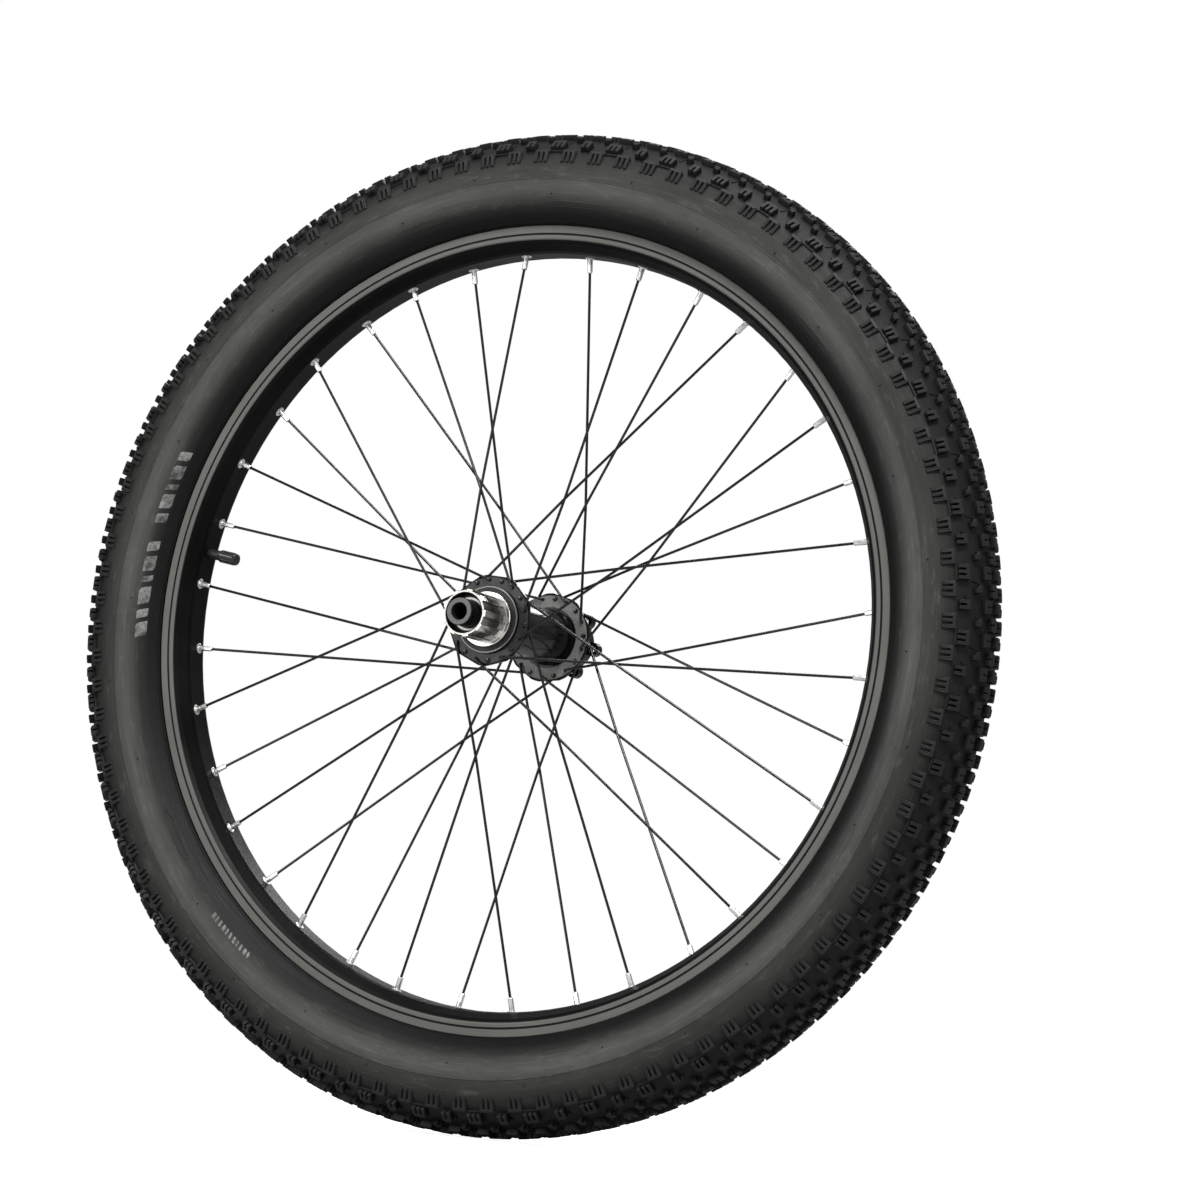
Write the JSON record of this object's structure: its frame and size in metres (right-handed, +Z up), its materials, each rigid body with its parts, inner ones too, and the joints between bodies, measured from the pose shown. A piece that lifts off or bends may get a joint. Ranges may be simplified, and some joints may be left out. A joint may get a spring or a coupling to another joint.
{
  "type": "spoked wheel",
  "caption": "Rear bicycle wheel with wide knobbly tyre, black rim, crossed wire spokes and a disc hub with splined freehub.",
  "frame": {"origin": "wheel centre: the rim mid-plane on the axle axis", "axes": "+Y along the axle from the drive side (freehub) to the disc-brake side, +Z up"},
  "size_m": [0.7394, 0.197, 0.7394],
  "materials": {
    "tyre_rubber": "matte",
    "tube_rubber": "matte",
    "tape_nylon": "matte",
    "rim_alloy": "satin",
    "bare_alloy": "satin",
    "eyelet_steel": "polished",
    "nipple_brass": "polished",
    "spoke_steel": "satin",
    "hub_alloy": "satin",
    "axle_alloy": "satin",
    "cap_alloy": "satin",
    "freehub_alloy": "satin",
    "hard_steel": "satin",
    "bearing_steel": "polished",
    "ball_steel": "polished",
    "cage_nylon": "matte",
    "seal_rubber": "matte",
    "valve_rubber": "matte",
    "valve_brass": "polished",
    "cap_plastic": "gloss",
    "spring_steel": "polished"
  },
  "bodies": {
    "axle_group": {"axle": "axle_alloy", "drive_end_cap": "cap_alloy", "disc_end_cap": "cap_alloy", "hub_bearing_inner_races": "bearing_steel", "freehub_bearing_inner_races": "bearing_steel", "freehub_bearing_spacer": "bare_alloy", "hub_bearing_spacer": "bare_alloy"},
    "wheel": {"tyre": "tyre_rubber", "inner_tube": "tube_rubber", "rim_tape": "tape_nylon", "rim": "rim_alloy", "rim_joint_sleeve": "bare_alloy", "spoke_eyelets": "eyelet_steel", "spoke_nipples": "nipple_brass", "drive_outer_spokes": "spoke_steel", "drive_inner_spokes": "spoke_steel", "disc_outer_spokes": "spoke_steel", "disc_inner_spokes": "spoke_steel", "valve_stem": "valve_rubber", "valve_barrel": "valve_brass", "valve_core": "valve_brass", "hub_shell": "hub_alloy", "ratchet_ring": "hard_steel", "hub_bearing_outer_races": "bearing_steel", "hub_bearing_seals": "seal_rubber", "freehub_seal": "seal_rubber"},
    "freehub": {"freehub_body": "freehub_alloy", "freehub_bearing_outer_races": "bearing_steel", "freehub_bearing_seals": "seal_rubber", "pawl_ring_spring": "spring_steel"},
    "pawl_a": {"pawl_1": "hard_steel"},
    "pawl_b": {"pawl_2": "hard_steel"},
    "pawl_c": {"pawl_3": "hard_steel"},
    "pawl_d": {"pawl_4": "hard_steel"},
    "drive_hub_ball_set": {"drive_hub_balls": "ball_steel", "drive_hub_cage": "cage_nylon"},
    "disc_hub_ball_set": {"disc_hub_balls": "ball_steel", "disc_hub_cage": "cage_nylon"},
    "outer_freehub_ball_set": {"outer_freehub_balls": "ball_steel", "outer_freehub_cage": "cage_nylon"},
    "inner_freehub_ball_set": {"inner_freehub_balls": "ball_steel", "inner_freehub_cage": "cage_nylon"},
    "cap": {"valve_cap": "cap_plastic"},
    "pin": {"valve_pin": "valve_brass"}
  },
  "joints": [
    {"name": "wheel_spin", "type": "hinge", "parent": "axle_group", "child": "wheel", "pos_m": [0, 0, 0], "axis": [0, 1, 0], "continuous": true},
    {"name": "freehub_spin", "type": "hinge", "parent": "axle_group", "child": "freehub", "pos_m": [0, 0, 0], "axis": [0, 1, 0], "continuous": true},
    {"name": "drive_hub_ball_roll", "type": "hinge", "parent": "axle_group", "child": "drive_hub_ball_set", "pos_m": [0, -0.039, 0], "axis": [0, 1, 0], "continuous": true},
    {"name": "disc_hub_ball_roll", "type": "hinge", "parent": "axle_group", "child": "disc_hub_ball_set", "pos_m": [0, 0.077, 0], "axis": [0, 1, 0], "continuous": true},
    {"name": "outer_freehub_ball_roll", "type": "hinge", "parent": "axle_group", "child": "outer_freehub_ball_set", "pos_m": [0, -0.0815, 0], "axis": [0, 1, 0], "continuous": true},
    {"name": "inner_freehub_ball_roll", "type": "hinge", "parent": "axle_group", "child": "inner_freehub_ball_set", "pos_m": [0, -0.048, 0], "axis": [0, 1, 0], "continuous": true},
    {"name": "valve_cap_off", "type": "slide", "parent": "wheel", "child": "cap", "axis": [0.9848, 0, -0.1736], "range_m": [0, 0.02]},
    {"name": "valve_pin_press", "type": "slide", "parent": "wheel", "child": "pin", "axis": [-0.9848, 0, 0.1736], "range_m": [0, 0.0015], "stiffness_N_per_m": 200, "springref_m": -0.002},
    {"name": "pawl_a_swing", "type": "hinge", "parent": "freehub", "child": "pawl_a", "pos_m": [0.00989, -0.0488, 0.0106], "axis": [0, 1, 0], "range_deg": [0, 12], "stiffness_Nm_per_rad": 0.005, "springref_deg": -17.19},
    {"name": "pawl_b_swing", "type": "hinge", "parent": "freehub", "child": "pawl_b", "pos_m": [-0.0106, -0.0488, 0.00989], "axis": [0, 1, 0], "range_deg": [0, 12], "stiffness_Nm_per_rad": 0.005, "springref_deg": -17.19},
    {"name": "pawl_c_swing", "type": "hinge", "parent": "freehub", "child": "pawl_c", "pos_m": [-0.00989, -0.0488, -0.0106], "axis": [0, 1, 0], "range_deg": [0, 12], "stiffness_Nm_per_rad": 0.005, "springref_deg": -17.19},
    {"name": "pawl_d_swing", "type": "hinge", "parent": "freehub", "child": "pawl_d", "pos_m": [0.0106, -0.0488, -0.00989], "axis": [0, 1, 0], "range_deg": [0, 12], "stiffness_Nm_per_rad": 0.005, "springref_deg": -17.19}
  ],
  "couplings": [
    {"joint": "drive_hub_ball_roll", "follows": "wheel_spin", "ratio": 0.588},
    {"joint": "disc_hub_ball_roll", "follows": "wheel_spin", "ratio": 0.588},
    {"joint": "outer_freehub_ball_roll", "follows": "freehub_spin", "ratio": 0.577},
    {"joint": "inner_freehub_ball_roll", "follows": "freehub_spin", "ratio": 0.577},
    {"joint": "pawl_b_swing", "follows": "pawl_a_swing", "ratio": 1},
    {"joint": "pawl_c_swing", "follows": "pawl_a_swing", "ratio": 1},
    {"joint": "pawl_d_swing", "follows": "pawl_a_swing", "ratio": 1}
  ]
}
